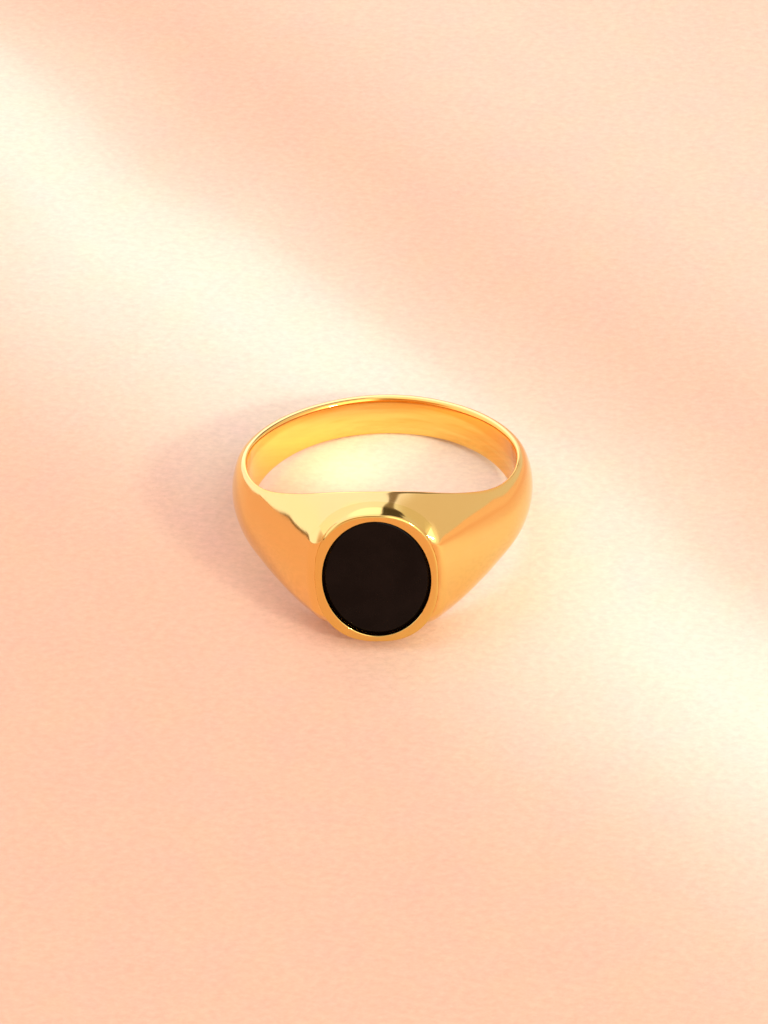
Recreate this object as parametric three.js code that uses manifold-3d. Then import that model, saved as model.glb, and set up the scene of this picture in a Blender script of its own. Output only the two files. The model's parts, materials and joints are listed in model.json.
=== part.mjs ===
// Oval signet ring with a flat inlaid tablet.
//
// Every piece is drawn in the ring's own axes first:
//   +X runs across the finger hole, -Y points out through the oval table,
//   Z is the finger axis, and Z = 0 is the mid-plane of the band.
// The assembled ring is then tipped about X until it lies on its side on
// Z = 0, on the finger-side edge of its head and the lower edge of its band.
// Dimensions are in millimetres.

import * as THREE from 'three';
import { ParametricGeometry } from 'three/addons/geometries/ParametricGeometry.js';
import { mergeVertices } from 'three/addons/utils/BufferGeometryUtils.js';
import Module from 'manifold-3d';

// ---------------------------------------------------------------- dimensions
const BORE_R = 10.0;            // finger hole radius
const TABLE_Y = 12.85;          // finger axis to the top of the oval rim
const HEAD_FRONT_Y = 12.75;     // where the head block stops under the rim
const INNER_EDGE = 0.46;        // size of the rounded comfort edge of the bore

// Band section against the angle from the head (degrees, 0 = table, 180 = back).
const STATION_DEG = [0, 10, 15, 18.5, 22.6, 32.4, 40.4, 52, 65.5, 79, 90, 120, 150, 180];
const HALF_WIDTH = [5.98, 5.88, 5.75, 5.62, 5.42, 4.86, 4.38, 3.68, 3.05, 2.68, 2.50, 1.90, 1.66, 1.66];
const CREASE_HALF_WIDTH = [4.91, 4.35, 3.64, 3.08, 2.93, 2.78, 2.66, 2.52, 2.44, 2.38, 2.32, 1.82, 1.60, 1.60];
const CREASE_R = [15.2, 14.8, 14.25, 13.65, 13.05, 12.0, 11.43, 10.93, 10.72, 10.65, 10.66, 10.76, 10.84, 10.85];
const CREST_R = [15.8, 15.3, 14.6, 13.98, 13.33, 12.32, 11.78, 11.35, 11.26, 11.24, 11.24, 11.26, 11.28, 11.28];
// How far the flank swells beyond the straight line from bore to crease.
const FLANK_BULGE = [0.05, 0.25, 0.38, 0.42, 0.38, 0.26, 0.14, 0.06, 0.02, 0, 0, 0, 0, 0];
// Softness of the crease between flank and outer face.
const SOFT_DEG = [0, 18, 24, 40, 60, 90, 180];
const SOFTNESS = [0.06, 0.10, 0.22, 0.32, 0.32, 0.28, 0.25];

// Oval head: half-axes across (X) and along the finger (Z), and the exponent
// of the outer outline, which is slightly fuller than an ellipse.
const RIM_A = 4.52, RIM_B = 5.47, RIM_POWER = 2.40;
const OPENING_A = 3.96, OPENING_B = 4.94;   // opening that shows the tablet
const CUP_A = 4.03, CUP_B = 5.03;           // inside of the collar below its lip
const TABLET_A = 4.00, TABLET_B = 5.00;     // calibrated 10 x 8 tablet
const TABLET_TOP_A = 3.66, TABLET_TOP_B = 4.66;
const POCKET_Y = 10.80;         // floor of the seat cut in the head
const FIT = 0.03;               // clearance between neighbouring pieces
const BASE_THICKNESS = 0.32;    // backing plate under the collar
const BEARING_THICKNESS = 0.22; // oval wire that the tablet rests on
const BEARING_A = 3.25, BEARING_B = 4.25;   // inside of the bearing
const TABLET_TOP_Y = 12.62;     // tablet face, just below the rim
const TABLET_GIRDLE_Y = 12.40;  // where its bevelled edge starts
const LIP_Y = 12.53;            // underside of the burnished lip at the opening
const FLAT_DEPTH = 0.05;        // depth of the small worn flats the ring lies on

const BAND_STEPS = 96;          // facets round the band
const OVAL_STEPS = 72;          // facets round the oval

// ------------------------------------------------------------------- helpers
const wasm = await Module();
wasm.setup();

const clamp = (x, lo, hi) => Math.min(hi, Math.max(lo, x));

// Cubic through stations, flat at both ends.
function spline(x, xs, ys) {
  const n = xs.length;
  const slope = (i) => {
    if (i === 0 || i === n - 1) return 0;
    const h0 = xs[i] - xs[i - 1], h1 = xs[i + 1] - xs[i];
    const d0 = (ys[i] - ys[i - 1]) / h0, d1 = (ys[i + 1] - ys[i]) / h1;
    return (d0 * h1 + d1 * h0) / (h0 + h1);
  };
  let i = 0;
  while (i < n - 2 && x >= xs[i + 1]) i++;
  const h = xs[i + 1] - xs[i], t = (x - xs[i]) / h;
  return ys[i] * (2 * t ** 3 - 3 * t ** 2 + 1) + slope(i) * h * (t ** 3 - 2 * t ** 2 + t)
    + ys[i + 1] * (-2 * t ** 3 + 3 * t ** 2) + slope(i + 1) * h * (t ** 3 - t ** 2);
}

function linear(x, xs, ys) {
  let i = 0;
  while (i < xs.length - 2 && x >= xs[i + 1]) i++;
  const t = clamp((x - xs[i]) / (xs[i + 1] - xs[i]), 0, 1);
  return ys[i] + (ys[i + 1] - ys[i]) * t;
}

// Smaller of two values, with the corner rounded over a span k.
function softMin(a, b, k) {
  const h = clamp(0.5 + 0.5 * (b - a) / k, 0, 1);
  return b + (a - b) * h - k * h * (1 - h);
}

// A closed mesh with shared vertices and outward faces, as a manifold solid.
function toSolid(geometry) {
  geometry.deleteAttribute('normal');
  geometry.deleteAttribute('uv');
  const merged = mergeVertices(geometry, 1e-5);
  const p = merged.attributes.position.array;
  const tris = [];
  let volume = 0;
  const idx = merged.index.array;
  for (let t = 0; t < idx.length; t += 3) {
    const [a, b, c] = [idx[t], idx[t + 1], idx[t + 2]];
    if (a === b || b === c || a === c) continue;
    tris.push(a, b, c);
    const A = new THREE.Vector3().fromArray(p, 3 * a);
    const B = new THREE.Vector3().fromArray(p, 3 * b);
    const C = new THREE.Vector3().fromArray(p, 3 * c);
    volume += A.dot(B.cross(C));
  }
  if (volume < 0) {
    for (let t = 0; t < tris.length; t += 3) [tris[t + 1], tris[t + 2]] = [tris[t + 2], tris[t + 1]];
  }
  return new wasm.Manifold(new wasm.Mesh({
    numProp: 3,
    vertProperties: new Float32Array(p),
    triVerts: new Uint32Array(tris),
  }));
}

function toGeometry(solid) {
  const mesh = solid.getMesh();
  const geometry = new THREE.BufferGeometry();
  geometry.setAttribute('position', new THREE.BufferAttribute(new Float32Array(mesh.vertProperties), 3));
  geometry.setIndex(new THREE.BufferAttribute(new Uint32Array(mesh.triVerts), 1));
  geometry.computeVertexNormals();
  return geometry;
}

// Point of a (super)ellipse in the X-Z plane at angle t.
function oval(a, b, power, t) {
  const c = Math.cos(t), s = Math.sin(t), e = 2 / power;
  return [a * Math.sign(c) * Math.abs(c) ** e, b * Math.sign(s) * Math.abs(s) ** e];
}

// A solid whose section is the list of [a, b, distance from finger axis, power],
// swept round the oval. A closed list makes a ring, and a list that starts
// and ends at a = b = 0 makes a plate.
function ovalSolid(section, closed) {
  const rows = closed ? [...section, section[0]] : section;
  const n = rows.length - 1;
  const g = new ParametricGeometry((u, v, target) => {
    const t = 2 * Math.PI * (Math.round(u * OVAL_STEPS) % OVAL_STEPS) / OVAL_STEPS;
    const [a, b, y, power = 2] = rows[Math.round(v * n)];
    const [x, z] = oval(a, b, power, t);
    target.set(x, -y, z);
  }, OVAL_STEPS, n);
  return toSolid(g);
}

// --------------------------------------------------------------------- shank
// Half of the band section at an angle from the head, from the bore out over
// the flank and the crease to the crest: pairs of [radius, height].
function halfSection(deg) {
  const c = Math.max(Math.cos(THREE.MathUtils.degToRad(deg)), 0.2);
  const xs = STATION_DEG;
  const halfWidth = spline(deg, xs, HALF_WIDTH);
  const creaseZ = spline(deg, xs, CREASE_HALF_WIDTH);
  const creaseR = softMin(spline(deg, xs, CREASE_R), (HEAD_FRONT_Y - 0.02) / c, 0.12);
  const crestR = softMin(spline(deg, xs, CREST_R), HEAD_FRONT_Y / c, 0.12);
  const soft = linear(deg, SOFT_DEG, SOFTNESS);

  const corner = new THREE.Vector2(BORE_R, halfWidth);
  const crease = new THREE.Vector2(creaseR, creaseZ);
  const along = crease.clone().sub(corner);
  const flank = along.length();
  along.normalize();
  const crown = (z) => new THREE.Vector2(crestR - (crestR - creaseR) * (z / creaseZ) ** 2, z);
  const bulge = spline(deg, xs, FLANK_BULGE);
  const swell = new THREE.Vector2(-along.y, along.x);
  const onFlank = (t) => corner.clone().lerp(crease, t).addScaledVector(swell, bulge * 4 * t * (1 - t));

  const edgeIn = new THREE.Vector2(BORE_R, halfWidth - INNER_EDGE);
  const t0 = Math.min(INNER_EDGE / flank, 0.4), t1 = 1 - Math.min(soft / flank, 0.4);
  const edgeOut = onFlank(t0);
  const creaseIn = onFlank(t1);
  const creaseOut = crown(creaseZ - soft);

  const comfort = new THREE.QuadraticBezierCurve(edgeIn, corner, edgeOut).getPoints(3);
  const ridge = new THREE.QuadraticBezierCurve(creaseIn, crease, creaseOut).getPoints(2);
  const side = [1, 2, 3].map((k) => onFlank(t0 + (t1 - t0) * k / 4));
  const points = [...comfort, ...side, ...ridge];
  for (let k = 1; k <= 3; k++) points.push(crown((creaseZ - soft) * (1 - k / 3)));
  return points;
}

function shankBlank() {
  const rows = [];
  for (let i = 0; i < BAND_STEPS; i++) {
    const angle = 2 * Math.PI * (i + 0.5) / BAND_STEPS;
    const fromHead = THREE.MathUtils.radToDeg(Math.min(angle, 2 * Math.PI - angle));
    const upper = halfSection(fromHead);
    const lower = upper.slice(0, -1).reverse().map((p) => new THREE.Vector2(p.x, -p.y));
    rows.push([...upper, ...lower].map((p) => [p.x * Math.sin(angle), -p.x * Math.cos(angle), p.y]));
  }
  const m = rows[0].length;
  return toSolid(new ParametricGeometry((u, v, target) => {
    target.set(...rows[Math.round(u * BAND_STEPS) % BAND_STEPS][Math.round(v * m) % m]);
  }, BAND_STEPS, m));
}

// Seat for the oval head, sunk into the front of the band.
const seat = ovalSolid([
  [0, 0, POCKET_Y, RIM_POWER],
  [RIM_A + FIT, RIM_B + FIT, POCKET_Y, RIM_POWER],
  [RIM_A + FIT, RIM_B + FIT, TABLE_Y + 3, RIM_POWER],
  [0, 0, TABLE_Y + 3, RIM_POWER],
], false);
const shankSolid = shankBlank().subtract(seat);

// ---------------------------------------------------------------------- head
const baseLow = POCKET_Y + FIT;
const baseTop = baseLow + BASE_THICKNESS;
const collarLow = baseTop + FIT;
const bearingTop = collarLow + BEARING_THICKNESS;
const tabletLow = bearingTop + FIT;

// Collar: an upright oval wall with a slightly rounded rim and a thin lip
// burnished over the tablet's bevel.
const collarSolid = ovalSolid([
  [RIM_A, RIM_B, collarLow, RIM_POWER],
  [RIM_A, RIM_B, TABLE_Y - 0.10, RIM_POWER],
  [RIM_A - 0.03, RIM_B - 0.03, TABLE_Y - 0.03, RIM_POWER],
  [RIM_A - 0.10, RIM_B - 0.10, TABLE_Y, RIM_POWER],
  [OPENING_A + 0.06, OPENING_B + 0.06, TABLE_Y, 2],
  [OPENING_A, OPENING_B, TABLE_Y - 0.06, 2],
  [OPENING_A, OPENING_B, LIP_Y, 2],
  [CUP_A, CUP_B, TABLET_GIRDLE_Y + 0.04, 2],
  [CUP_A, CUP_B, collarLow, 2],
], true);

const baseSolid = ovalSolid([
  [0, 0, baseLow, RIM_POWER],
  [RIM_A, RIM_B, baseLow, RIM_POWER],
  [RIM_A, RIM_B, baseTop, RIM_POWER],
  [0, 0, baseTop, RIM_POWER],
], false);

const bearingSolid = ovalSolid([
  [CUP_A - FIT, CUP_B - FIT, collarLow, 2],
  [CUP_A - FIT, CUP_B - FIT, bearingTop, 2],
  [BEARING_A, BEARING_B, bearingTop, 2],
  [BEARING_A, BEARING_B, collarLow, 2],
], true);

const cementSolid = ovalSolid([
  [0, 0, collarLow, 2],
  [BEARING_A - FIT, BEARING_B - FIT, collarLow, 2],
  [BEARING_A - FIT, BEARING_B - FIT, bearingTop, 2],
  [0, 0, bearingTop, 2],
], false);

const tabletSolid = ovalSolid([
  [0, 0, tabletLow, 2],
  [TABLET_A - 0.12, TABLET_B - 0.12, tabletLow, 2],
  [TABLET_A, TABLET_B, tabletLow + 0.12, 2],
  [TABLET_A, TABLET_B, TABLET_GIRDLE_Y, 2],
  [TABLET_TOP_A, TABLET_TOP_B, TABLET_TOP_Y, 2],
  [0, 0, TABLET_TOP_Y, 2],
], false);

// ------------------------------------------------------------------ assembly
const gold = (name) => {
  const m = new THREE.MeshStandardMaterial({ color: 0xe9b566, metalness: 1.0, roughness: 0.12 });
  m.name = name;
  return m;
};
const onyx = new THREE.MeshStandardMaterial({ color: 0x120c09, metalness: 0.0, roughness: 0.08 });
onyx.name = 'onyx';
const cement = new THREE.MeshStandardMaterial({ color: 0xcfc7b4, metalness: 0.0, roughness: 0.7 });
cement.name = 'cement';

function piece(name, solid, material) {
  const mesh = new THREE.Mesh(toGeometry(solid), material);
  mesh.name = name;
  return mesh;
}

// Tip the ring about X onto its side. The line that touches the head's lower
// edge and the band's lower edge with everything else above it gives the tilt.
// Height over the surface is z cos(tilt) - y sin(tilt) in the ring's axes.
function restingPlane(solid) {
  const p = toGeometry(solid).attributes.position;
  const pts = [];
  for (let i = 0; i < p.count; i++) pts.push([p.getY(i), p.getZ(i)]);
  const lowest = (tilt) => {
    let at = null, low = Infinity;
    for (const [y, z] of pts) {
      const h = z * Math.cos(tilt) - y * Math.sin(tilt);
      if (h < low) { low = h; at = y; }
    }
    return { at, low };
  };
  // With too little tilt the head touches (Y < 0), and with too much the band.
  let lo = 0, hi = Math.PI / 4;
  for (let k = 0; k < 60; k++) {
    const mid = (lo + hi) / 2;
    if (lowest(mid).at < 0) lo = mid; else hi = mid;
  }
  return { tilt: (lo + hi) / 2, low: lowest((lo + hi) / 2).low };
}

// Handling wears a small flat where the head and the back of the band touch
// the table, all in that one plane, so the ring lies steady.
const rest = restingPlane(shankSolid);
const wornShank = shankSolid.trimByPlane(
  [0, -Math.sin(rest.tilt), Math.cos(rest.tilt)], rest.low + FLAT_DEPTH);

const ring = new THREE.Group();
const head = new THREE.Group();
ring.add(piece('shank', wornShank, gold('gold_band')));
head.add(piece('bezel_base', baseSolid, gold('gold_base')));
head.add(piece('bezel_collar', collarSolid, gold('gold_collar')));
head.add(piece('bearing_ring', bearingSolid, gold('gold_bearing')));
head.add(piece('cement_bed', cementSolid, cement));
head.add(piece('onyx_tablet', tabletSolid, onyx));
ring.add(head);
ring.rotation.x = -rest.tilt;

const part = new THREE.Group();
part.add(ring);
part.updateMatrixWorld(true);
const box = new THREE.Box3().setFromObject(part, true);
ring.position.set(-(box.min.x + box.max.x) / 2, -(box.min.y + box.max.y) / 2, -box.min.z);
part.updateMatrixWorld(true);

export default part;
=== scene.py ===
import json
import math

import bpy
import numpy as np
from mathutils import Matrix, Vector


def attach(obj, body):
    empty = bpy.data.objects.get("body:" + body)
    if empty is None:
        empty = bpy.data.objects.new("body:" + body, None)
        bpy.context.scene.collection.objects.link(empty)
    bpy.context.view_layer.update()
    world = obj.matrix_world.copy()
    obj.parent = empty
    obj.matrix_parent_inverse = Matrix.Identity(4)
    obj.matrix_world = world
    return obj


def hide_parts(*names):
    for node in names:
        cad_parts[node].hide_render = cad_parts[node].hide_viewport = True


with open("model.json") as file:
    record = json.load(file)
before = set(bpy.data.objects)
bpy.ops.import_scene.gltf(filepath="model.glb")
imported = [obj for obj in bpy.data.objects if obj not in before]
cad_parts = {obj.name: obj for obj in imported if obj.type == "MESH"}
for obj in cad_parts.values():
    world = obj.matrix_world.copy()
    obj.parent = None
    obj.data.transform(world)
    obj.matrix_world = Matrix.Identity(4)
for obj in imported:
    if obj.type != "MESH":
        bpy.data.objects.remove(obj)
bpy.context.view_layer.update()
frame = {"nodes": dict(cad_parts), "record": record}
MM = 0.001

# ---------------------------------------------------------------- ring frame
# The record's mount on the finger axis gives the ring's own axes: +X across
# the finger hole, -Y out through the oval table, Z along the finger.
finger = next(m for m in frame["record"]["mounts"] if m["name"] == "finger")
AXIS = Vector(finger["axis"]).normalized()
TILT = -math.atan2(AXIS.y, AXIS.z)
ORIGIN = Vector(finger["pos_m"])
CT, ST = math.cos(TILT), math.sin(TILT)


def to_row(p):
    """Ring-frame points in mm to row-frame points in metres."""
    p = np.asarray(p, float)
    x, y, z = p[..., 0], p[..., 1], p[..., 2]
    out = np.stack([x, y * CT - z * ST, y * ST + z * CT], -1) * MM
    return out + np.array(ORIGIN)


def dir_to_row(d):
    x, y, z = d
    return Vector((x, y * CT - z * ST, y * ST + z * CT)).normalized()


# ------------------------------------------------------------ band stations
BORE_R = 10.0
TABLE_Y = 12.85
FRONT_Y = 12.75
EDGE = 0.46
DEG = np.array([0, 10, 15, 18.5, 22.6, 32.4, 40.4, 52, 65.5, 79, 90, 120, 150, 180.0])
HALF_W = np.array([5.98, 5.88, 5.75, 5.62, 5.42, 4.86, 4.38, 3.68, 3.05, 2.68, 2.50, 1.90, 1.66, 1.66])
CREASE_W = np.array([4.91, 4.35, 3.64, 3.08, 2.93, 2.78, 2.66, 2.52, 2.44, 2.38, 2.32, 1.82, 1.60, 1.60])
CREASE_R = np.array([15.2, 14.8, 14.25, 13.65, 13.05, 12.0, 11.43, 10.93, 10.72, 10.65, 10.66, 10.76, 10.84, 10.85])
CREST_R = np.array([15.8, 15.3, 14.6, 13.98, 13.33, 12.32, 11.78, 11.35, 11.26, 11.24, 11.24, 11.26, 11.28, 11.28])
BULGE = np.array([0.05, 0.25, 0.38, 0.42, 0.38, 0.26, 0.14, 0.06, 0.02, 0.0, 0.0, 0.0, 0.0, 0.0])
RIM_A, RIM_B, RIM_N = 4.52, 5.47, 2.40
OPEN_A, OPEN_B = 3.96, 4.94
CUP_A, CUP_B = 4.03, 5.03
POCKET_Y = 10.80


def spline(x, xs, ys):
    d = np.diff(ys) / np.diff(xs)
    h = np.diff(xs)
    m = np.zeros_like(ys)
    m[1:-1] = (d[:-1] * h[1:] + d[1:] * h[:-1]) / (h[:-1] + h[1:])
    i = np.clip(np.searchsorted(xs, x, side="right") - 1, 0, len(xs) - 2)
    t = (x - xs[i]) / h[i]
    return (ys[i] * (2 * t**3 - 3 * t**2 + 1) + m[i] * h[i] * (t**3 - 2 * t**2 + t)
            + ys[i + 1] * (-2 * t**3 + 3 * t**2) + m[i + 1] * h[i] * (t**3 - t**2))


def soft_min(a, b, k):
    h = np.clip(0.5 + 0.5 * (b - a) / k, 0, 1)
    return b + (a - b) * h - k * h * (1 - h)


def smooth(x, lo, hi):
    t = np.clip((x - lo) / (hi - lo), 0, 1)
    return t * t * (3 - 2 * t)


def quad(a, b, c, n):
    t = np.linspace(0, 1, n + 1)[:, None]
    return (1 - t) ** 2 * a + 2 * t * (1 - t) * b + t**2 * c


SOFT_DEG = [0, 12, 20, 28, 36, 48, 60, 90, 180]
SOFT_LEFT = [0.06, 0.06, 0.08, 0.12, 0.26, 0.50, 0.58, 0.50, 0.45]
SOFT_RIGHT = [0.06, 0.22, 0.40, 0.48, 0.52, 0.55, 0.58, 0.50, 0.45]


def half_section(deg, n_edge, n_flank, n_crease, n_crown, soft_side=SOFT_RIGHT):
    """[radius, height] from the bore over the flank and crease to the crest."""
    c = max(math.cos(math.radians(deg)), 0.2)
    H = float(spline(deg, DEG, HALF_W))
    wc = float(spline(deg, DEG, CREASE_W))
    rc = float(soft_min(spline(deg, DEG, CREASE_R), (FRONT_Y - 0.02) / c, 0.40))
    r0 = float(soft_min(spline(deg, DEG, CREST_R), FRONT_Y / c, 0.48))
    soft = float(np.interp(deg, SOFT_DEG, soft_side))
    I, C = np.array([BORE_R, H]), np.array([rc, wc])
    d = C - I
    L = float(np.hypot(*d))
    d = d / L

    def crown(w):
        return np.array([r0 - (r0 - rc) * (w / wc) ** 2, w])

    n = np.array([-d[1], d[0]])
    bulge = float(spline(deg, DEG, BULGE))

    def flank(t):
        return I + (C - I) * t + n * bulge * 4 * t * (1 - t)

    t0, t1 = min(EDGE, 0.4 * L) / L, 1 - min(soft, 0.45 * L) / L
    a0, a1 = np.array([BORE_R, H - EDGE]), flank(t0)
    c0, c1 = flank(t1), crown(wc - soft)
    pts = [a0]
    pts += list(quad(a0, I, a1, n_edge))[1:]
    pts += [flank(t0 + (t1 - t0) * k / n_flank) for k in range(1, n_flank + 1)]
    pts += list(quad(c0, C, c1, n_crease))[1:]
    pts += [crown((wc - soft) * (1 - k / n_crown)) for k in range(1, n_crown + 1)]
    return np.array(pts)


# Height of the outside of the band over the plane of the table, from a table
# of radii, so that the collar's fillet can land on it.
TAB_DEG = np.linspace(0, 40, 401)
TAB_W = np.linspace(0, 6.2, 311)


def _radius_row(deg):
    s = half_section(deg, 6, 40, 12, 30)
    top = int(np.argmax(s[:, 1]))
    r, w = s[top:, 0][::-1], s[top:, 1][::-1]
    row = np.interp(TAB_W, w, r)
    row[TAB_W > w[-1]] = r[-1]
    return row


RADII = np.array([_radius_row(a) for a in TAB_DEG])


def height(u, w):
    """Distance from the finger axis plane of the band's outside over (u, w)."""
    u, w = abs(u), abs(w)
    col = np.array([np.interp(w, TAB_W, RADII[i]) for i in range(len(TAB_DEG))])
    us = col * np.sin(np.radians(TAB_DEG))
    k = int(np.searchsorted(us, u))
    k = min(max(k, 1), len(us) - 1)
    t = (u - us[k - 1]) / max(us[k] - us[k - 1], 1e-9)
    r = col[k - 1] + (col[k] - col[k - 1]) * t
    return math.sqrt(max(r * r - u * u, 0.0))


# ------------------------------------------------------------- mesh helpers
def mesh_object(name, verts, faces, sharp_deg=None):
    me = bpy.data.meshes.new(name)
    me.from_pydata([tuple(v) for v in verts], [], faces)
    me.validate()
    me.polygons.foreach_set("use_smooth", [True] * len(me.polygons))
    me.update()
    ob = bpy.data.objects.new(name, me)
    bpy.context.scene.collection.objects.link(ob)
    return ob


def torus_grid(rows):
    """Closed grid: rows x cols points, both directions wrap."""
    n, m = rows.shape[:2]
    faces = []
    for i in range(n):
        j = (i + 1) % n
        for k in range(m):
            l = (k + 1) % m
            faces.append((i * m + k, j * m + k, j * m + l, i * m + l))
    return rows.reshape(-1, 3), faces


def outward(verts, faces):
    """Flips every face if the mesh's signed volume is negative."""
    v = np.asarray(verts)
    vol = 0.0
    f = np.array([fc for fc in faces if len(fc) == 4])
    if len(f):
        a, b, c, d = v[f[:, 0]], v[f[:, 1]], v[f[:, 2]], v[f[:, 3]]
        vol += float((a * np.cross(b, c)).sum() + (a * np.cross(c, d)).sum())
    t = np.array([fc for fc in faces if len(fc) == 3])
    if len(t):
        a, b, c = v[t[:, 0]], v[t[:, 1]], v[t[:, 2]]
        vol += float((a * np.cross(b, c)).sum())
    return faces if vol > 0 else [tuple(reversed(fc)) for fc in faces]


def oval(a, b, n, t):
    c, s = np.cos(t), np.sin(t)
    e = 2.0 / n
    return a * np.sign(c) * np.abs(c) ** e, b * np.sign(s) * np.abs(s) ** e


# --------------------------------------------------------------------- shank
N_PHI = 540


def build_shank():
    rows = []
    for i in range(N_PHI):
        a = 2 * math.pi * (i + 0.5) / N_PHI
        deg = math.degrees(min(a, 2 * math.pi - a))
        h = half_section(deg, 8, 22, 10, 22, SOFT_RIGHT if a < math.pi else SOFT_LEFT)
        low = h[:-1][::-1].copy()
        low[:, 1] *= -1
        s = np.vstack([h, low])
        rows.append(np.stack([s[:, 0] * math.sin(a), -s[:, 0] * math.cos(a), s[:, 1]], -1))
    g = np.array(rows)
    # Seat for the collar: inside its outline the front of the band drops to
    # the floor of the seat.
    u, v, w = g[..., 0], g[..., 1], g[..., 2]
    k = (np.abs(u) / RIM_A) ** RIM_N + (np.abs(w) / RIM_B) ** RIM_N
    size = k ** (1 / RIM_N)
    depth = (size - 1) * 5.0
    inside = smooth(-depth, 0.10, 0.42)
    front = (v < -POCKET_Y) & (inside > 0)
    v2 = v * (1 - inside) + (-POCKET_Y - 0.01) * inside
    g[..., 1] = np.where(front, v2, v)
    verts, faces = torus_grid(g)
    row = to_row(verts)
    row[:, 2] = np.maximum(row[:, 2], 0.0)       # the worn flats it lies on
    return mesh_object("shank_body", row, outward(verts, faces))


shank = build_shank()

# -------------------------------------------------------------------- collar
N_T = 512


def outline_normal(t, a, b, n):
    x, z = oval(a, b, n, t)
    gx = n * np.sign(x) * (np.abs(x) / a) ** (n - 1) / a
    gz = n * np.sign(z) * (np.abs(z) / b) ** (n - 1) / b
    L = math.hypot(gx, gz)
    return x, z, gx / L, gz / L


def even_angles(count):
    """Angles that give even steps along the collar's outline."""
    t = np.linspace(0, 2 * math.pi, 8193)
    x, z = oval(RIM_A, RIM_B, RIM_N, t)
    s = np.concatenate([[0], np.cumsum(np.hypot(np.diff(x), np.diff(z)))])
    return np.interp(np.linspace(0, s[-1], count, endpoint=False), s, t)


def build_collar():
    low = POCKET_Y + 0.38
    rows = []
    for t in even_angles(N_T):
        x, z, nx, nz = outline_normal(t, RIM_A, RIM_B, RIM_N)
        side = abs(nx) ** 1.5
        edge = 0.20 + 0.10 * side            # rounding of the rim's outer edge
        # direction of the inner opening at the same bearing
        ti = math.atan2(z / RIM_B, x / RIM_A)
        ix, iz = OPEN_A * math.cos(ti), OPEN_B * math.sin(ti)
        cx, cz = CUP_A * math.cos(ti), CUP_B * math.sin(ti)
        bx, bz = ix - x, iz - z
        bl = math.hypot(bx, bz)
        bx, bz = bx / bl, bz / bl
        base = height(x, z)
        steep = (base - height(x + nx * 0.06, z + nz * 0.06)) / 0.06
        reach = 0.34 + 0.50 * side           # length of the fillet along the band
        r = reach / math.sqrt(1 + steep * steep)
        foot = height(x + nx * r, z + nz * r)
        slope = (height(x + nx * (r + 0.02), z + nz * (r + 0.02)) - foot) / 0.02
        corner = foot - slope * r            # tangent of the band met at the wall
        wall_top = TABLE_Y - edge
        corner = min(corner, wall_top - 0.01)
        up = min(reach, wall_top - corner)
        P0 = np.array([0.0, corner + up])
        P1 = np.array([0.0, corner])
        P2 = np.array([r, foot])
        fil = quad(P2, P1, P0, 12)           # outward distance, height
        prof = []
        prof.append((x, low, z))
        prof.append((x, min(foot, base) - 0.25, z))
        prof.append((x + nx * (r * 0.5), min(foot, base) - 0.12, z + nz * (r * 0.5)))
        # past its foot the fillet dives under the band almost along it
        ext = 0.01 + 0.30 * side
        under = height(x + nx * (r + ext), z + nz * (r + ext)) - 0.012 - 0.010 * side
        prof.append((x + nx * (r + ext), under, z + nz * (r + ext)))
        for dist, hgt in fil:
            prof.append((x + nx * dist, hgt, z + nz * dist))
        # wall, then the rounded outer edge, moving in towards the opening
        for k in (1, 2, 3):
            prof.append((x, P0[1] + (wall_top - P0[1]) * k / 3 + k * 1e-5, z))
        for q in quad(np.array([0.0, wall_top]), np.array([0.0, TABLE_Y]), np.array([edge, TABLE_Y]), 8)[1:]:
            prof.append((x + bx * q[0], q[1], z + bz * q[0]))
        lip = 0.07
        flat = bl - edge - lip
        for f in (0.35, 0.65):
            prof.append((x + bx * (edge + flat * f), TABLE_Y + 0.006, z + bz * (edge + flat * f)))
        for q in quad(np.array([bl - lip, TABLE_Y]), np.array([bl, TABLE_Y]), np.array([bl, TABLE_Y - lip]), 4):
            prof.append((x + bx * q[0], q[1], z + bz * q[0]))
        prof.append((ix, 12.53, iz))
        prof.append((cx, 12.44, cz))
        prof.append((cx, low, cz))
        rows.append(prof)
    g = np.array(rows)
    g[..., 1] *= -1
    verts, faces = torus_grid(g)
    return mesh_object("collar_rim", to_row(verts), outward(verts, faces))


collar = build_collar()


# -------------------------------------------------------------------- tablet
def build_tablet():
    n = 256
    top_a, top_b = 3.66, 4.66
    rings = [(0.02, 0.02, 11.42), (2.0, 2.5, 11.42), (3.80, 4.80, 11.42), (3.88, 4.88, 11.43), (3.985, 4.985, 11.53),
             (4.0, 5.0, 11.58), (4.0, 5.0, 12.36), (3.99, 4.99, 12.395), (3.96, 4.96, 12.425),
             (top_a + 0.035, top_b + 0.035, 12.600), (top_a + 0.012, top_b + 0.012, 12.613), (top_a - 0.02, top_b - 0.02, 12.620),
             (top_a - 0.08, top_b - 0.08, 12.620), (2.6, 3.4, 12.620), (1.2, 1.6, 12.620), (0.02, 0.02, 12.620)]
    t = np.linspace(0, 2 * math.pi, n, endpoint=False)
    verts, faces = [], []
    for a, b, y in rings:
        verts += [(a * math.cos(q), -y, b * math.sin(q)) for q in t]
    for i in range(len(rings) - 1):
        for k in range(n):
            l = (k + 1) % n
            faces.append((i * n + k, i * n + l, (i + 1) * n + l, (i + 1) * n + k))
    verts += [(0, -rings[0][2], 0), (0, -rings[-1][2], 0)]
    c0, c1 = len(verts) - 2, len(verts) - 1
    last = (len(rings) - 1) * n
    for k in range(n):
        l = (k + 1) % n
        faces.append((c0, l, k))
        faces.append((c1, last + k, last + l))
    return mesh_object("onyx_stone", to_row(verts), outward(np.array(verts, float), faces))


tablet = build_tablet()


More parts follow.
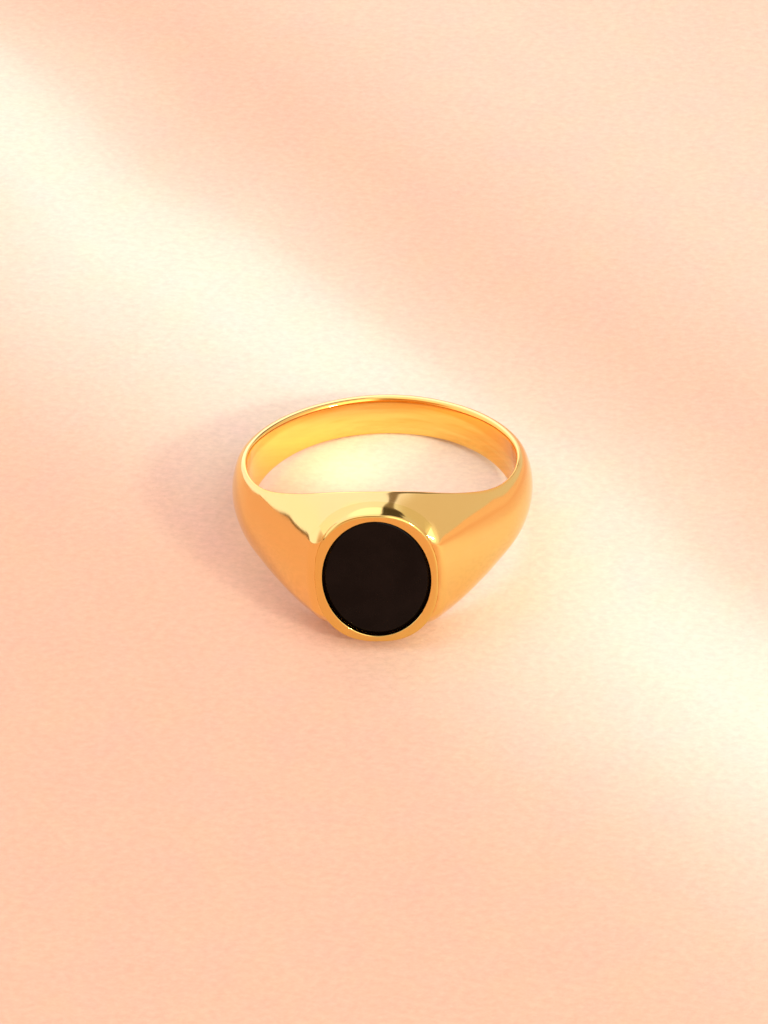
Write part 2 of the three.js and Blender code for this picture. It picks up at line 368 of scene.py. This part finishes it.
# ----------------------------------------------------------------- materials
def new_material(name):
    m = bpy.data.materials.new(name)
    m.use_nodes = True
    nt = m.node_tree
    nt.nodes.clear()
    out = nt.nodes.new("ShaderNodeOutputMaterial")
    bsdf = nt.nodes.new("ShaderNodeBsdfPrincipled")
    nt.links.new(bsdf.outputs["BSDF"], out.inputs["Surface"])
    return m, nt, bsdf


def node(nt, kind, **kw):
    n = nt.nodes.new(kind)
    for k, v in kw.items():
        if hasattr(n, k):
            setattr(n, k, v)
        else:
            n.inputs[k].default_value = v
    return n


def gold_material(name, tint=(0.865, 0.585, 0.200), deep=(0.825, 0.530, 0.165), rough=(0.045, 0.11), wave=0.00002):
    m, nt, b = new_material(name)
    L = nt.links.new
    b.inputs["Metallic"].default_value = 1.0
    b.inputs["Specular IOR Level"].default_value = 0.5
    co = node(nt, "ShaderNodeTexCoord")
    # slow drift of the alloy's colour
    n1 = node(nt, "ShaderNodeTexNoise", Scale=180.0, Detail=3.0, Roughness=0.55)
    L(co.outputs["Object"], n1.inputs["Vector"])
    mix = node(nt, "ShaderNodeMix", data_type="RGBA")
    mix.inputs[6].default_value = (*deep, 1)
    mix.inputs[7].default_value = (*tint, 1)
    L(n1.outputs["Fac"], mix.inputs[0])
    # painted reflection: the bore gets a deeper, richer gold than the outside, in place of the warm light bounced
    # round inside the ring
    off = node(nt, "ShaderNodeVectorMath", operation="SUBTRACT")
    off.inputs[1].default_value = tuple(ORIGIN)
    L(co.outputs["Object"], off.inputs[0])
    crs = node(nt, "ShaderNodeVectorMath", operation="CROSS_PRODUCT")
    crs.inputs[1].default_value = tuple(AXIS)
    L(off.outputs[0], crs.inputs[0])
    rad = node(nt, "ShaderNodeVectorMath", operation="LENGTH")
    L(crs.outputs[0], rad.inputs[0])
    inn = node(nt, "ShaderNodeMapRange", interpolation_type="SMOOTHSTEP")
    inn.inputs["From Min"].default_value = 0.01004
    inn.inputs["From Max"].default_value = 0.01040
    L(rad.outputs["Value"], inn.inputs["Value"])
    bore = node(nt, "ShaderNodeMix", data_type="RGBA")
    # painted reflection: streaks of colour stretched round the bore stand in for the light patterns reflected inside
    # the ring
    axial = node(nt, "ShaderNodeVectorMath", operation="DOT_PRODUCT")
    axial.inputs[1].default_value = tuple(AXIS)
    L(off.outputs[0], axial.inputs[0])
    lift = node(nt, "ShaderNodeVectorMath", operation="SCALE")
    lift.inputs[0].default_value = tuple(AXIS * 9.0)
    L(axial.outputs["Value"], lift.inputs["Scale"])
    stretch = node(nt, "ShaderNodeVectorMath", operation="ADD")
    L(off.outputs[0], stretch.inputs[0])
    L(lift.outputs[0], stretch.inputs[1])
    painted_bore_streaks = node(nt, "ShaderNodeTexNoise", Scale=170.0, Detail=3.0, Roughness=0.5)
    L(stretch.outputs[0], painted_bore_streaks.inputs["Vector"])
    # painted shade: darker, more orange gold along the upper edge of the bore
    painted_upper_shade = node(nt, "ShaderNodeMapRange", interpolation_type="SMOOTHSTEP")
    painted_upper_shade.inputs["From Min"].default_value = 0.0001
    painted_upper_shade.inputs["From Max"].default_value = 0.0014
    L(axial.outputs["Value"], painted_upper_shade.inputs["Value"])
    tone = node(nt, "ShaderNodeMath", operation="MULTIPLY_ADD")
    tone.inputs[1].default_value = -0.45
    L(painted_upper_shade.outputs["Result"], tone.inputs[0])
    L(painted_bore_streaks.outputs["Fac"], tone.inputs[2])
    tmap = node(nt, "ShaderNodeMapRange")
    tmap.inputs["From Min"].default_value = 0.0
    tmap.inputs["From Max"].default_value = 0.54
    # painted light: a little yellower towards -X and more orange towards +X, for the light falling unevenly in the
    # bore
    offx = node(nt, "ShaderNodeSeparateXYZ")
    L(off.outputs[0], offx.inputs[0])
    painted_side_tone = node(nt, "ShaderNodeMath", operation="MULTIPLY_ADD")
    painted_side_tone.inputs[1].default_value = -26.0
    L(offx.outputs["X"], painted_side_tone.inputs[0])
    L(tone.outputs[0], painted_side_tone.inputs[2])
    L(painted_side_tone.outputs[0], tmap.inputs["Value"])
    # painted reflection: orange and yellow bore colours, blended by the painted streaks and shade
    inside = node(nt, "ShaderNodeMix", data_type="RGBA")
    inside.inputs[6].default_value = (0.930, 0.440, 0.075, 1)
    inside.inputs[7].default_value = (0.965, 0.670, 0.195, 1)
    L(tmap.outputs["Result"], inside.inputs[0])
    L(inside.outputs[2], bore.inputs[6])
    L(inn.outputs["Result"], bore.inputs[0])
    L(mix.outputs[2], bore.inputs[7])
    L(bore.outputs[2], b.inputs["Base Color"])
    # polish: patches of slightly different gloss, with fine hairline marks
    n2 = node(nt, "ShaderNodeTexNoise", Scale=420.0, Detail=4.0, Roughness=0.6)
    L(co.outputs["Object"], n2.inputs["Vector"])
    mp = node(nt, "ShaderNodeMapping")
    mp.inputs["Scale"].default_value = (1.0, 1.0, 14.0)
    mp.inputs["Rotation"].default_value = (0.2, 0.35, 0.5)
    L(co.outputs["Object"], mp.inputs["Vector"])
    n3 = node(nt, "ShaderNodeTexNoise", Scale=900.0, Detail=6.0, Roughness=0.7)
    L(mp.outputs["Vector"], n3.inputs["Vector"])
    add = node(nt, "ShaderNodeMath", operation="MULTIPLY")
    L(n2.outputs["Fac"], add.inputs[0])
    L(n3.outputs["Fac"], add.inputs[1])
    rr = node(nt, "ShaderNodeMapRange")
    rr.inputs["From Min"].default_value = 0.12
    rr.inputs["From Max"].default_value = 0.40
    rr.inputs["To Min"].default_value = rough[0]
    rr.inputs["To Max"].default_value = rough[1]
    L(add.outputs[0], rr.inputs["Value"])
    L(rr.outputs["Result"], b.inputs["Roughness"])
    # hand polishing leaves a very low waviness under the gloss
    n4 = node(nt, "ShaderNodeTexNoise", Scale=260.0, Detail=2.0, Roughness=0.5)
    L(co.outputs["Object"], n4.inputs["Vector"])
    bump = node(nt, "ShaderNodeBump")
    bump.inputs["Strength"].default_value = 1.0
    bump.inputs["Distance"].default_value = wave
    L(n4.outputs["Fac"], bump.inputs["Height"])
    bump2 = node(nt, "ShaderNodeBump")
    bump2.inputs["Strength"].default_value = 1.0
    bump2.inputs["Distance"].default_value = 0.0000014
    L(n3.outputs["Fac"], bump2.inputs["Height"])
    L(bump.outputs["Normal"], bump2.inputs["Normal"])
    L(bump2.outputs["Normal"], b.inputs["Normal"])
    return m


def onyx_material():
    m, nt, b = new_material("onyx_polished")
    L = nt.links.new
    co = node(nt, "ShaderNodeTexCoord")
    n1 = node(nt, "ShaderNodeTexNoise", Scale=500.0, Detail=5.0, Roughness=0.6)
    L(co.outputs["Object"], n1.inputs["Vector"])
    ramp = node(nt, "ShaderNodeValToRGB")
    ramp.color_ramp.elements[0].position = 0.35
    ramp.color_ramp.elements[0].color = (0.0030, 0.0014, 0.0010, 1)
    ramp.color_ramp.elements[1].position = 0.72
    ramp.color_ramp.elements[1].color = (0.0062, 0.0032, 0.0024, 1)
    L(n1.outputs["Fac"], ramp.inputs["Fac"])
    L(ramp.outputs["Color"], b.inputs["Base Color"])
    n2 = node(nt, "ShaderNodeTexNoise", Scale=1500.0, Detail=5.0, Roughness=0.65)
    L(co.outputs["Object"], n2.inputs["Vector"])
    rr = node(nt, "ShaderNodeMapRange")
    rr.inputs["From Min"].default_value = 0.3
    rr.inputs["From Max"].default_value = 0.7
    rr.inputs["To Min"].default_value = 0.05
    rr.inputs["To Max"].default_value = 0.11
    L(n2.outputs["Fac"], rr.inputs["Value"])
    L(rr.outputs["Result"], b.inputs["Roughness"])
    n3 = node(nt, "ShaderNodeTexNoise", Scale=2600.0, Detail=3.0, Roughness=0.6)
    L(co.outputs["Object"], n3.inputs["Vector"])
    bump = node(nt, "ShaderNodeBump")
    bump.inputs["Distance"].default_value = 0.0000008
    L(n3.outputs["Fac"], bump.inputs["Height"])
    L(bump.outputs["Normal"], b.inputs["Normal"])
    b.inputs["IOR"].default_value = 1.54
    b.inputs["Specular IOR Level"].default_value = 0.075
    return m


def cement_material():
    m, nt, b = new_material("setting_cement")
    L = nt.links.new
    co = node(nt, "ShaderNodeTexCoord")
    n1 = node(nt, "ShaderNodeTexNoise", Scale=900.0, Detail=5.0, Roughness=0.6)
    L(co.outputs["Object"], n1.inputs["Vector"])
    ramp = node(nt, "ShaderNodeValToRGB")
    ramp.color_ramp.elements[0].color = (0.46, 0.40, 0.29, 1)
    ramp.color_ramp.elements[1].color = (0.66, 0.61, 0.50, 1)
    L(n1.outputs["Fac"], ramp.inputs["Fac"])
    L(ramp.outputs["Color"], b.inputs["Base Color"])
    b.inputs["Roughness"].default_value = 0.7
    bump = node(nt, "ShaderNodeBump")
    bump.inputs["Distance"].default_value = 0.00002
    L(n1.outputs["Fac"], bump.inputs["Height"])
    L(bump.outputs["Normal"], b.inputs["Normal"])
    return m


gold = gold_material("yellow_gold_polished")
# painted shade: the collar gets a darker, more saturated copy of the same gold, for the shadowed floor it reflects
gold_rim_shaded = gold_material("yellow_gold_rim_painted_shade", tint=(0.800, 0.550, 0.160), deep=(0.770, 0.505, 0.135), rough=(0.05, 0.12))
gold_in = gold_material("yellow_gold_unpolished", tint=(0.86, 0.60, 0.26), deep=(0.80, 0.54, 0.22), rough=(0.28, 0.42))
onyx = onyx_material()
cement = cement_material()
shank.data.materials.append(gold)
collar.data.materials.append(gold_rim_shaded)
tablet.data.materials.append(onyx)


def dress(name, mat):
    me = frame["nodes"][name].data
    if len(me.materials) == 0:
        me.materials.append(mat)
    for i in range(len(me.materials)):
        me.materials[i] = mat


dress("bezel_base", gold_in)
dress("bearing_ring", gold_in)
dress("cement_bed", cement)

for ob, cad, slot in ((shank, "shank", "gold_band"), (collar, "bezel_collar", "gold_collar"), (tablet, "onyx_tablet", "onyx")):
    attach(ob, "root")
    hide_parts(cad)

# --------------------------------------------------------------------- floor
fm, nt, fb = new_material("floor_paper")
L = nt.links.new
co = node(nt, "ShaderNodeTexCoord")
n1 = node(nt, "ShaderNodeTexNoise", Scale=260.0, Detail=5.0, Roughness=0.6)
L(co.outputs["Object"], n1.inputs["Vector"])
# painted light: broad, soft diagonal bands of sunlight, as through a thin curtain, painted into the paper's colour
band = node(nt, "ShaderNodeVectorMath", operation="DOT_PRODUCT")
band.inputs[1].default_value = (0.72, 0.69, 0.0)
L(co.outputs["Object"], band.inputs[0])
wob = node(nt, "ShaderNodeTexNoise", Scale=28.0, Detail=1.0, Roughness=0.4)
L(co.outputs["Object"], wob.inputs["Vector"])
wadd = node(nt, "ShaderNodeMath", operation="MULTIPLY_ADD")
wadd.inputs[1].default_value = 0.012
L(wob.outputs["Fac"], wadd.inputs[0])
L(band.outputs["Value"], wadd.inputs[2])
light_band_map = node(nt, "ShaderNodeMapRange")
light_band_map.inputs["From Min"].default_value = -0.034
light_band_map.inputs["From Max"].default_value = 0.066
L(wadd.outputs[0], light_band_map.inputs["Value"])
ramp = node(nt, "ShaderNodeValToRGB")
ramp.color_ramp.interpolation = "B_SPLINE"
# dark is the paper's own colour; pale is its colour under the painted light bands
dark, pale = np.array([0.815, 0.465, 0.300]), np.array([0.925, 0.800, 0.605])
LIGHT_BAND_STOPS = [(0.0, 0.0), (0.20, 0.0), (0.30, 0.10), (0.37, 0.45), (0.44, 0.85), (0.48, 1.0), (0.525, 0.85),
         (0.56, 0.45), (0.64, 0.08), (0.72, 0.10), (0.85, 0.42), (1.0, 0.30)]
els = ramp.color_ramp.elements
while len(els) < len(LIGHT_BAND_STOPS):
    els.new(0.5)
for e, (pos, f) in zip(els, LIGHT_BAND_STOPS):
    e.position = pos
    e.color = (*(dark + (pale - dark) * f), 1)
L(light_band_map.outputs["Result"], ramp.inputs["Fac"])
grain = node(nt, "ShaderNodeMix", data_type="RGBA", blend_type="MULTIPLY")
grain.inputs[0].default_value = 0.10
L(ramp.outputs["Color"], grain.inputs[6])
L(n1.outputs["Color"], grain.inputs[7])
fib = node(nt, "ShaderNodeMapping")
fib.inputs["Scale"].default_value = (1.0, 1.7, 1.0)
fib.inputs["Rotation"].default_value = (0.0, 0.0, 0.35)
L(co.outputs["Object"], fib.inputs["Vector"])
n3 = node(nt, "ShaderNodeTexNoise", Scale=1500.0, Detail=4.0, Roughness=0.65)
L(fib.outputs["Vector"], n3.inputs["Vector"])
fmap = node(nt, "ShaderNodeMapRange")
fmap.inputs["From Min"].default_value = 0.32
fmap.inputs["From Max"].default_value = 0.68
fmap.inputs["To Min"].default_value = 0.90
fmap.inputs["To Max"].default_value = 1.03
L(n3.outputs["Fac"], fmap.inputs["Value"])
fibre = node(nt, "ShaderNodeMix", data_type="RGBA", blend_type="MULTIPLY")
fibre.inputs[0].default_value = 1.0
L(grain.outputs[2], fibre.inputs[6])
L(fmap.outputs["Result"], fibre.inputs[7])
L(fibre.outputs[2], fb.inputs["Base Color"])
fb.inputs["Roughness"].default_value = 0.85
fb.inputs["Specular IOR Level"].default_value = 0.2
n2 = node(nt, "ShaderNodeTexNoise", Scale=2200.0, Detail=4.0, Roughness=0.6)
L(co.outputs["Object"], n2.inputs["Vector"])
bmp = node(nt, "ShaderNodeBump")
bmp.inputs["Strength"].default_value = 0.5
bmp.inputs["Distance"].default_value = 0.00012
L(n2.outputs["Fac"], bmp.inputs["Height"])
L(bmp.outputs["Normal"], fb.inputs["Normal"])
S = 3.0
floor = mesh_object("floor", [(-S, -S, 0), (S, -S, 0), (S, S, 0), (-S, S, 0)], [(0, 1, 2, 3)])
floor.data.materials.append(fm)

# -------------------------------------------------------------------- camera
ELEV, YAW, ROLL, DIST = math.radians(32.23), math.radians(2.82), math.radians(1.79), 350.0
PX_PER_MM = 13.375
back = dir_to_row((math.sin(YAW) * math.cos(ELEV), -math.cos(YAW) * math.cos(ELEV), math.sin(ELEV)))
right = dir_to_row((math.cos(YAW), math.sin(YAW), 0.0))
up = back.cross(right)
# roll about the viewing axis
cr, sr = math.cos(ROLL), math.sin(ROLL)
right, up = right * cr - up * sr, up * cr + right * sr
cam_data = bpy.data.cameras.new("camera")
cam = bpy.data.objects.new("camera", cam_data)
bpy.context.scene.collection.objects.link(cam)
cam_data.sensor_width = 36.0
cam_data.lens = 36.0 * PX_PER_MM * DIST / 1024.0
cam_data.clip_start, cam_data.clip_end = 0.01, 10.0
# the ring's centre sits a little above the middle of the frame
aim = ORIGIN - right * ((382.4 - 384.0) / PX_PER_MM * MM) - up * ((512.0 - 485.8) / PX_PER_MM * MM)
cam.location = aim + back * (DIST * MM)
rot = Matrix((right, up, back)).transposed()
cam.rotation_mode = "QUATERNION"
cam.rotation_quaternion = rot.to_quaternion()
bpy.context.scene.camera = cam

# -------------------------------------------------------------------- lights
scene = bpy.context.scene
scene.view_settings.view_transform = "Standard"
scene.view_settings.look = "None"


def direction(az, el):
    """Azimuth 0 is +Y, 90 is +X."""
    a, e = math.radians(az), math.radians(el)
    return Vector((math.sin(a) * math.cos(e), math.cos(a) * math.cos(e), math.sin(e)))


def area(name, az, el, dist, w, h, power, color):
    d = bpy.data.lights.new(name, "AREA")
    d.shape = "RECTANGLE"
    d.size, d.size_y = w, h
    d.energy = power
    d.color = color
    o = bpy.data.objects.new(name, d)
    scene.collection.objects.link(o)
    v = direction(az, el)
    o.location = v * dist
    o.rotation_mode = "QUATERNION"
    o.rotation_quaternion = v.to_track_quat("Z", "Y")
    o.visible_camera = False
    return o


area("key_right", 133, 31, 0.6, 0.06, 0.06, 1.24, (1.0, 0.94, 0.84))

glow = bpy.data.lights.new("hole_glow", "AREA")
glow.shape = "DISK"
glow.size = 0.003
glow.energy = 0.00018
glow.color = (1.0, 0.80, 0.46)
glow_ob = bpy.data.objects.new("hole_glow", glow)
scene.collection.objects.link(glow_ob)
glow_ob.location = (-0.0034, 0.0069, 0.0047)
glow_ob.visible_camera = False
glow_ob.visible_glossy = False

warm = bpy.data.lights.new("bore_warmth", "AREA")
warm.shape = "DISK"
warm.size = 0.004
warm.energy = 0.00003
warm.color = (1.0, 0.42, 0.12)
warm_ob = bpy.data.objects.new("bore_warmth", warm)
scene.collection.objects.link(warm_ob)
warm_ob.location = (0.0055, 0.0045, 0.0046)
warm_ob.visible_camera = False
warm_ob.visible_glossy = False

w = bpy.data.worlds.new("world")
scene.world = w
w.use_nodes = True
wt = w.node_tree
bg = wt.nodes["Background"]
wco = wt.nodes.new("ShaderNodeTexCoord")
AMBIENT = (0.84, 0.78, 0.74)
# azimuth, elevation, inner and outer radius in degrees, colour
SOFT_LIGHTS = [
    (-70, 25, 40, 75, (1.30, 1.35, 1.65)),
    (-30, 62, 22, 50, (1.26, 1.32, 1.80)),
    (80, 38, 25, 55, (0.84, 0.74, 0.70)),
    (125, 28, 14, 36, (1.25, 1.18, 1.10)),
    (-8, 12, 9, 20, (1.75, 1.75, 2.1)),
    (-50, 76, 7, 22, (1.45, 1.45, 1.60)),
    (-148, 45, 18, 36, (0.76, 0.44, 0.26)),
    (143, 36, 19, 31, (2.1, 2.0, 1.85)),
    (131, 54, 12, 23, (2.3, 2.25, 2.1)),
    (-173, 58, 5, 13, (0.05, 0.03, 0.02)),
]
prev = None
for az, el, inner, outer, colour in SOFT_LIGHTS:
    dot = wt.nodes.new("ShaderNodeVectorMath")
    dot.operation = "DOT_PRODUCT"
    dot.inputs[1].default_value = direction(az, el)
    wt.links.new(wco.outputs["Generated"], dot.inputs[0])
    mr = wt.nodes.new("ShaderNodeMapRange")
    mr.interpolation_type = "SMOOTHSTEP"
    mr.inputs["From Min"].default_value = math.cos(math.radians(outer))
    mr.inputs["From Max"].default_value = math.cos(math.radians(inner))
    wt.links.new(dot.outputs["Value"], mr.inputs["Value"])
    mx = wt.nodes.new("ShaderNodeMix")
    mx.data_type = "RGBA"
    mx.inputs[6].default_value = (*AMBIENT, 1)
    mx.inputs[7].default_value = (*colour, 1)
    wt.links.new(mr.outputs["Result"], mx.inputs[0])
    if prev is not None:
        wt.links.new(prev, mx.inputs[6])
    prev = mx.outputs[2]


def wmath(op, *args):
    n = wt.nodes.new("ShaderNodeMath")
    n.operation = op
    for i, a in enumerate(args):
        if isinstance(a, (int, float)):
            n.inputs[i].default_value = a
        else:
            wt.links.new(a, n.inputs[i])
    return n.outputs[0]


def wramp(value, lo, hi):
    n = wt.nodes.new("ShaderNodeMapRange")
    n.interpolation_type = "SMOOTHSTEP"
    n.inputs["From Min"].default_value = lo
    n.inputs["From Max"].default_value = hi
    wt.links.new(value, n.inputs["Value"])
    return n.outputs["Result"]


# a dark upright, such as a door frame, behind the ring and a little right
sep = wt.nodes.new("ShaderNodeSeparateXYZ")
wt.links.new(wco.outputs["Generated"], sep.inputs[0])
azim = wmath("MULTIPLY", wmath("ARCTAN2", sep.outputs["X"], sep.outputs["Y"]), 180 / math.pi)
elev = wmath("MULTIPLY", wmath("ARCSINE", sep.outputs["Z"]), 180 / math.pi)
right_edge = wmath("SUBTRACT", 25.0, wmath("MULTIPLY", wramp(elev, 28.0, 42.0), 11.0))
stripe = wmath("MULTIPLY", wramp(azim, 0.0, 2.2),
               wmath("SUBTRACT", 1.0, wramp(wmath("SUBTRACT", azim, right_edge), -3.0, 3.5)))
stripe = wmath("MULTIPLY", stripe, wramp(elev, 11.5, 14.5))
stripe = wmath("MULTIPLY", stripe, wmath("SUBTRACT", 1.0, wramp(elev, 66.0, 74.0)))
shade = wt.nodes.new("ShaderNodeMix")
shade.data_type = "RGBA"
shade.inputs[6].default_value = (0.095, 0.075, 0.060, 1)
shade.inputs[7].default_value = (0.31, 0.25, 0.23, 1)
wt.links.new(wramp(elev, 24.0, 46.0), shade.inputs[0])
mx = wt.nodes.new("ShaderNodeMix")
mx.data_type = "RGBA"
wt.links.new(stripe, mx.inputs[0])
wt.links.new(prev, mx.inputs[6])
wt.links.new(shade.outputs[2], mx.inputs[7])
prev = mx.outputs[2]
# the dark foot of the room along the horizon on the left
low = wmath("MULTIPLY", wramp(azim, -140.0, -120.0), wmath("SUBTRACT", 1.0, wramp(azim, -72.5, -67.5)))
low = wmath("MULTIPLY", low, wmath("SUBTRACT", 1.0, wramp(elev, 1.5, 4.5)))
mx = wt.nodes.new("ShaderNodeMix")
mx.data_type = "RGBA"
mx.inputs[7].default_value = (0.26, 0.16, 0.09, 1)
wt.links.new(low, mx.inputs[0])
wt.links.new(prev, mx.inputs[6])
prev = mx.outputs[2]
wt.links.new(prev, bg.inputs["Color"])
bg.inputs["Strength"].default_value = 1.10
